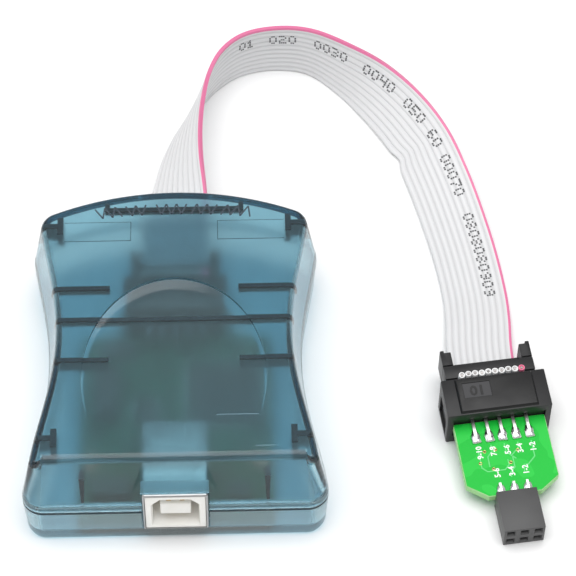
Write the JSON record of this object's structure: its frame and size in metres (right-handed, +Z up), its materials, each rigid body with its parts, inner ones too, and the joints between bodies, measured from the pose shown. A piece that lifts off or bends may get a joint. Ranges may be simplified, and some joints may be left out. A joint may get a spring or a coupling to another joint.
{
  "type": "usb microcontroller programmer",
  "caption": "Palm-sized programmer: translucent hourglass case with a USB port and a thumb dish, and a ribbon cable to a plug-in adapter board with a small target socket.",
  "frame": {"origin": "bottom centre of the case, on the surface it lies on", "axes": "+Z up; +Y towards the ribbon cable's exit; -Y towards the USB port; +X towards the adapter"},
  "size_m": [0.0986, 0.1216, 0.02],
  "materials": {
    "smoky_blue_plastic": "clear, smoky blue, gloss",
    "green_board": "green solder mask",
    "bright_green_board": "bright green solder mask",
    "nickel_plate": "satin nickel",
    "tinned_brass": "tin plated",
    "cream_plastic": "satin",
    "black_plastic": "satin",
    "grey_ribbon": "soft satin",
    "chip_epoxy": "matt",
    "tantalum_case": "satin",
    "led_lens": "clear"
  },
  "bodies": {
    "case": {"bottom_shell": "smoky_blue_plastic", "main_board": "green_board", "usb_shell": "nickel_plate", "crystal": "nickel_plate", "board_pin_1": "tinned_brass", "board_pin_2": "tinned_brass", "board_pin_3": "tinned_brass", "board_pin_4": "tinned_brass", "board_pin_5": "tinned_brass", "board_pin_6": "tinned_brass", "board_pin_7": "tinned_brass", "board_pin_8": "tinned_brass", "board_pin_9": "tinned_brass", "board_pin_10": "tinned_brass", "usb_contact_1": "tinned_brass", "usb_contact_2": "tinned_brass", "usb_contact_3": "tinned_brass", "usb_contact_4": "tinned_brass", "usb_insulator": "cream_plastic", "board_header": "black_plastic", "case_socket_body": "black_plastic", "case_socket_cover": "black_plastic", "case_socket_clip": "black_plastic", "adapter_socket_body": "black_plastic", "adapter_socket_cover": "black_plastic", "adapter_socket_clip": "black_plastic", "ribbon_cable": "grey_ribbon", "microcontroller": "chip_epoxy", "memory_chip": "chip_epoxy", "voltage_regulator": "chip_epoxy", "bulk_capacitor": "tantalum_case", "input_fuse": "tantalum_case", "power_led": "led_lens", "status_led": "led_lens"},
    "lid": {"top_shell": "smoky_blue_plastic"},
    "adapter": {"adapter_header": "black_plastic", "adapter_board": "bright_green_board", "target_socket": "black_plastic", "adapter_pin_1": "tinned_brass", "adapter_pin_2": "tinned_brass", "adapter_pin_3": "tinned_brass", "adapter_pin_4": "tinned_brass", "adapter_pin_5": "tinned_brass", "adapter_pin_6": "tinned_brass", "adapter_pin_7": "tinned_brass", "adapter_pin_8": "tinned_brass", "adapter_pin_9": "tinned_brass", "adapter_pin_10": "tinned_brass", "target_contact_1": "tinned_brass", "target_contact_2": "tinned_brass", "target_contact_3": "tinned_brass", "target_contact_4": "tinned_brass", "target_contact_5": "tinned_brass", "target_contact_6": "tinned_brass"}
  },
  "joints": [
    {"name": "lid_lift", "type": "slide", "parent": "case", "child": "lid", "axis": [0, 0, 1], "range_m": [0, 0.03]},
    {"name": "adapter_unplug", "type": "slide", "parent": "case", "child": "adapter", "axis": [0.1258, -0.9889, -0.0785], "range_m": [0, 0.007]}
  ]
}
